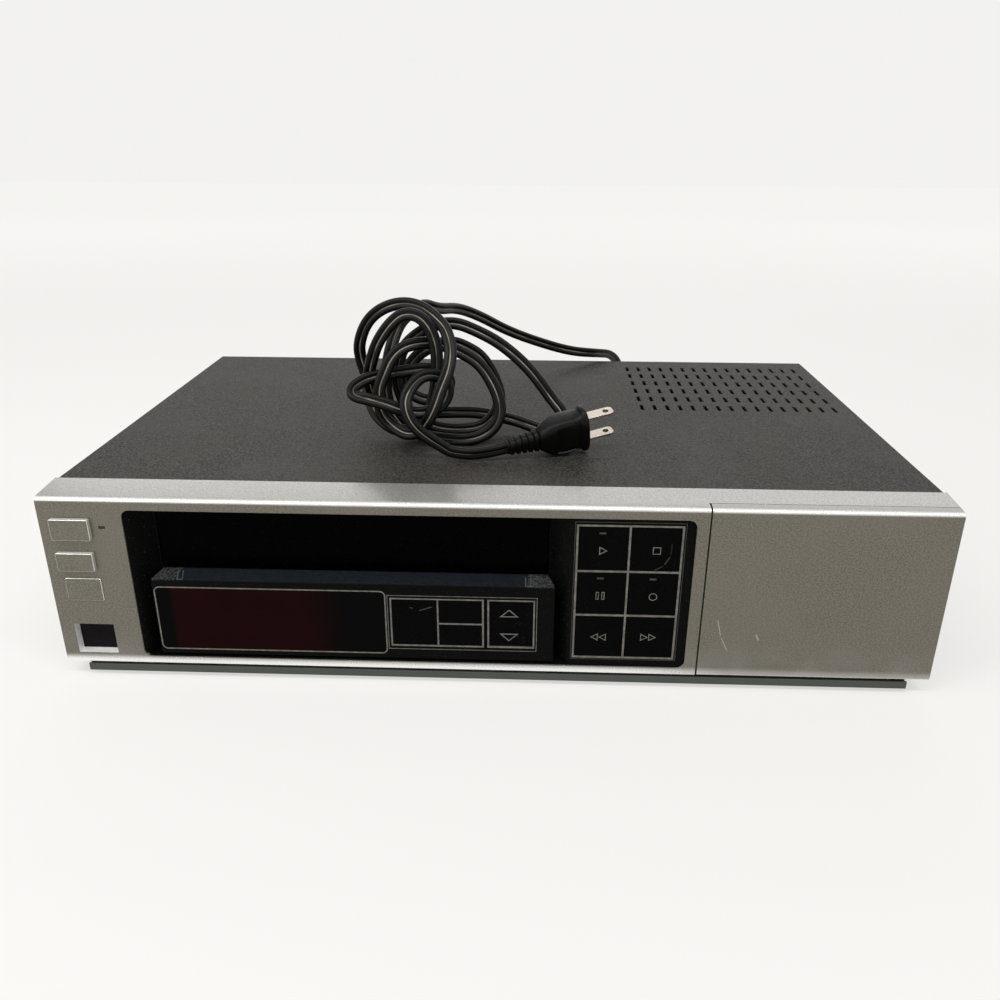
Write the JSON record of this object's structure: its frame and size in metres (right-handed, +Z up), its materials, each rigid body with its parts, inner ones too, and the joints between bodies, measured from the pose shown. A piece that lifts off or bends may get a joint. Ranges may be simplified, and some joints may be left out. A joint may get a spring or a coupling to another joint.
{
  "type": "video cassette recorder",
  "caption": "Front-loading video cassette recorder: silver front, inward-swinging cassette flap, transport keys, fold-down control door, vented cover, tape deck inside and mains cord on top.",
  "frame": {"origin": "middle of the footprint on the floor, measured without the free mains cord", "axes": "+X across the width to the right seen from the front, +Y to the back, +Z up"},
  "size_m": [0.4372, 0.3157, 0.1687],
  "materials": {
    "silver_paint": "satin silver paint",
    "cover_paint": "fine textured dark grey paint",
    "bottom_steel": "dull grey-green paint",
    "dark_moulding": "dark grey moulding",
    "black_gloss": "glossy black",
    "sill_grey": "blue-grey satin",
    "display_red": "dark red transparent filter",
    "remote_dark": "dark filter",
    "ruled_silver": "silver paint",
    "lamp_red": "unlit red lens",
    "rubber_black": "matt",
    "cord_vinyl": "semi-gloss vinyl",
    "screw_black": "blackened",
    "zinc_steel": "zinc plated sheet",
    "drum_alloy": "machined",
    "white_moulding": "natural plastic",
    "nickel": "nickel plate",
    "board_brown": "printed circuit board",
    "core_iron": "laminated core"
  },
  "bodies": {
    "base": {"front_bezel": "silver_paint", "top_cover": "cover_paint", "rear_panel": "cover_paint", "bottom_cover": "bottom_steel", "chassis_frame": "dark_moulding", "control_panel": "dark_moulding", "window_surround": "black_gloss", "cassette_sill": "sill_grey", "display_window": "display_red", "remote_window": "remote_dark", "silver_trim": "ruled_silver", "power_lamp": "lamp_red", "rubber_feet": "rubber_black", "cord_gland": "rubber_black", "power_cord": "cord_vinyl", "cord_tangle": "cord_vinyl", "cord_tail": "cord_vinyl", "plug_body": "cord_vinyl", "cover_screws": "screw_black", "deck_plate": "zinc_steel", "carriage_frame": "zinc_steel", "tuner_module": "zinc_steel", "drum_base": "drum_alloy", "display_tube": "white_moulding", "antenna_connectors": "nickel", "av_jacks": "nickel", "plug_blades": "nickel", "front_board": "board_brown", "main_board": "board_brown", "transformer": "core_iron"},
    "flap": {"cassette_flap": "black_gloss"},
    "rocker": {"channel_rocker": "black_gloss"},
    "door": {"control_door": "silver_paint"},
    "knob": {"tracking_knob": "dark_moulding"},
    "speed": {"speed_switch": "dark_moulding"},
    "output": {"output_switch": "dark_moulding"},
    "head_drum": {"head_drum": "drum_alloy"},
    "capstan": {"capstan": "zinc_steel"},
    "pinch_arm": {"pinch_arm": "zinc_steel"},
    "pinch_roller": {"pinch_roller": "rubber_black"},
    "supply_reel": {"supply_reel": "white_moulding"},
    "takeup_reel": {"takeup_reel": "white_moulding"},
    "supply_guide": {"supply_guide": "white_moulding"},
    "takeup_guide": {"takeup_guide": "white_moulding"},
    "slider": {"carriage_slider": "zinc_steel"},
    "holder": {"cassette_holder": "zinc_steel"},
    "play_key": {"play_key": "black_gloss"},
    "stop_key": {"stop_key": "black_gloss"},
    "pause_key": {"pause_key": "black_gloss"},
    "record_key": {"record_key": "black_gloss"},
    "rewind_key": {"rewind_key": "black_gloss"},
    "forward_key": {"forward_key": "black_gloss"},
    "tape_tv_key": {"tape_tv_key": "black_gloss"},
    "counter_key": {"counter_key": "black_gloss"},
    "reset_key": {"reset_key": "black_gloss"},
    "power_button": {"power_button": "silver_paint"},
    "eject_button": {"eject_button": "silver_paint"},
    "instant_record_button": {"instant_record_button": "silver_paint"},
    "clock_key": {"clock_key": "dark_moulding"},
    "program_key": {"program_key": "dark_moulding"}
  },
  "joints": [
    {"name": "flap_swing", "type": "hinge", "parent": "base", "child": "flap", "pos_m": [-0.06955, -0.12635, 0.09], "axis": [1, 0, 0], "range_deg": [0, 80], "stiffness_Nm_per_rad": 0.01, "springref_deg": -17.19},
    {"name": "play_key_press", "type": "slide", "parent": "base", "child": "play_key", "axis": [0, 1, 0], "range_m": [0, 0.001], "stiffness_N_per_m": 250},
    {"name": "stop_key_press", "type": "slide", "parent": "base", "child": "stop_key", "axis": [0, 1, 0], "range_m": [0, 0.001], "stiffness_N_per_m": 250},
    {"name": "pause_key_press", "type": "slide", "parent": "base", "child": "pause_key", "axis": [0, 1, 0], "range_m": [0, 0.001], "stiffness_N_per_m": 250},
    {"name": "record_key_press", "type": "slide", "parent": "base", "child": "record_key", "axis": [0, 1, 0], "range_m": [0, 0.001], "stiffness_N_per_m": 250},
    {"name": "rewind_key_press", "type": "slide", "parent": "base", "child": "rewind_key", "axis": [0, 1, 0], "range_m": [0, 0.001], "stiffness_N_per_m": 250},
    {"name": "forward_key_press", "type": "slide", "parent": "base", "child": "forward_key", "axis": [0, 1, 0], "range_m": [0, 0.001], "stiffness_N_per_m": 250},
    {"name": "tape_tv_key_press", "type": "slide", "parent": "base", "child": "tape_tv_key", "axis": [0, 1, 0], "range_m": [0, 0.001], "stiffness_N_per_m": 250},
    {"name": "counter_key_press", "type": "slide", "parent": "base", "child": "counter_key", "axis": [0, 1, 0], "range_m": [0, 0.001], "stiffness_N_per_m": 250},
    {"name": "reset_key_press", "type": "slide", "parent": "base", "child": "reset_key", "axis": [0, 1, 0], "range_m": [0, 0.001], "stiffness_N_per_m": 250},
    {"name": "clock_key_press", "type": "slide", "parent": "base", "child": "clock_key", "axis": [0, 1, 0], "range_m": [0, 0.001], "stiffness_N_per_m": 250},
    {"name": "program_key_press", "type": "slide", "parent": "base", "child": "program_key", "axis": [0, 1, 0], "range_m": [0, 0.001], "stiffness_N_per_m": 250},
    {"name": "power_button_press", "type": "slide", "parent": "base", "child": "power_button", "axis": [0, 1, 0], "range_m": [0, 0.0015], "stiffness_N_per_m": 250},
    {"name": "eject_button_press", "type": "slide", "parent": "base", "child": "eject_button", "axis": [0, 1, 0], "range_m": [0, 0.0015], "stiffness_N_per_m": 250},
    {"name": "instant_record_button_press", "type": "slide", "parent": "base", "child": "instant_record_button", "axis": [0, 1, 0], "range_m": [0, 0.0015], "stiffness_N_per_m": 250},
    {"name": "channel_rock", "type": "hinge", "parent": "base", "child": "rocker", "pos_m": [0.00925, -0.13605, 0.03475], "axis": [1, 0, 0], "range_deg": [-3, 3], "stiffness_Nm_per_rad": 0.05},
    {"name": "door_swing", "type": "hinge", "parent": "base", "child": "door", "pos_m": [0.1595, -0.13785, 0.0102], "axis": [1, 0, 0], "range_deg": [0, 90]},
    {"name": "tracking_turn", "type": "hinge", "parent": "base", "child": "knob", "pos_m": [0.1235, -0.12685, 0.06], "axis": [0, -1, 0], "range_deg": [-150, 150]},
    {"name": "speed_select", "type": "slide", "parent": "base", "child": "speed", "axis": [1, 0, 0], "range_m": [0, 0.008]},
    {"name": "output_select", "type": "slide", "parent": "base", "child": "output", "axis": [1, 0, 0], "range_m": [0, 0.005]},
    {"name": "drum_spin", "type": "hinge", "parent": "base", "child": "head_drum", "pos_m": [-0.06955, 0.05515, 0.0315], "axis": [0, 0.1045, 0.9945], "continuous": true},
    {"name": "capstan_spin", "type": "hinge", "parent": "base", "child": "capstan", "pos_m": [-0.01555, 0.02515, 0.0315], "axis": [0, 0, 1], "continuous": true},
    {"name": "pinch_swing", "type": "hinge", "parent": "base", "child": "pinch_arm", "pos_m": [0.01445, 0.03715, 0.034], "axis": [0, 0, -1], "range_deg": [0, 16]},
    {"name": "pinch_roll", "type": "hinge", "parent": "pinch_arm", "child": "pinch_roller", "pos_m": [-0.00155, 0.01715, 0.042], "axis": [0, 0, 1], "continuous": true},
    {"name": "supply_turn", "type": "hinge", "parent": "base", "child": "supply_reel", "pos_m": [-0.11555, -0.04285, 0.033], "axis": [0, 0, 1], "continuous": true},
    {"name": "takeup_turn", "type": "hinge", "parent": "base", "child": "takeup_reel", "pos_m": [-0.02355, -0.04285, 0.033], "axis": [0, 0, 1], "continuous": true},
    {"name": "supply_load", "type": "slide", "parent": "base", "child": "supply_guide", "axis": [-0.3091, 0.951, 0], "range_m": [0, 0.042]},
    {"name": "takeup_load", "type": "slide", "parent": "base", "child": "takeup_guide", "axis": [0.3091, 0.951, 0], "range_m": [0, 0.042]},
    {"name": "cassette_feed", "type": "slide", "parent": "base", "child": "slider", "axis": [0, -1, 0], "range_m": [-0.06, 0]},
    {"name": "cassette_lift", "type": "slide", "parent": "slider", "child": "holder", "axis": [0, 0, 1], "range_m": [-0.018, 0]}
  ],
  "couplings": [
    {"joint": "takeup_load", "follows": "supply_load", "ratio": 1}
  ]
}
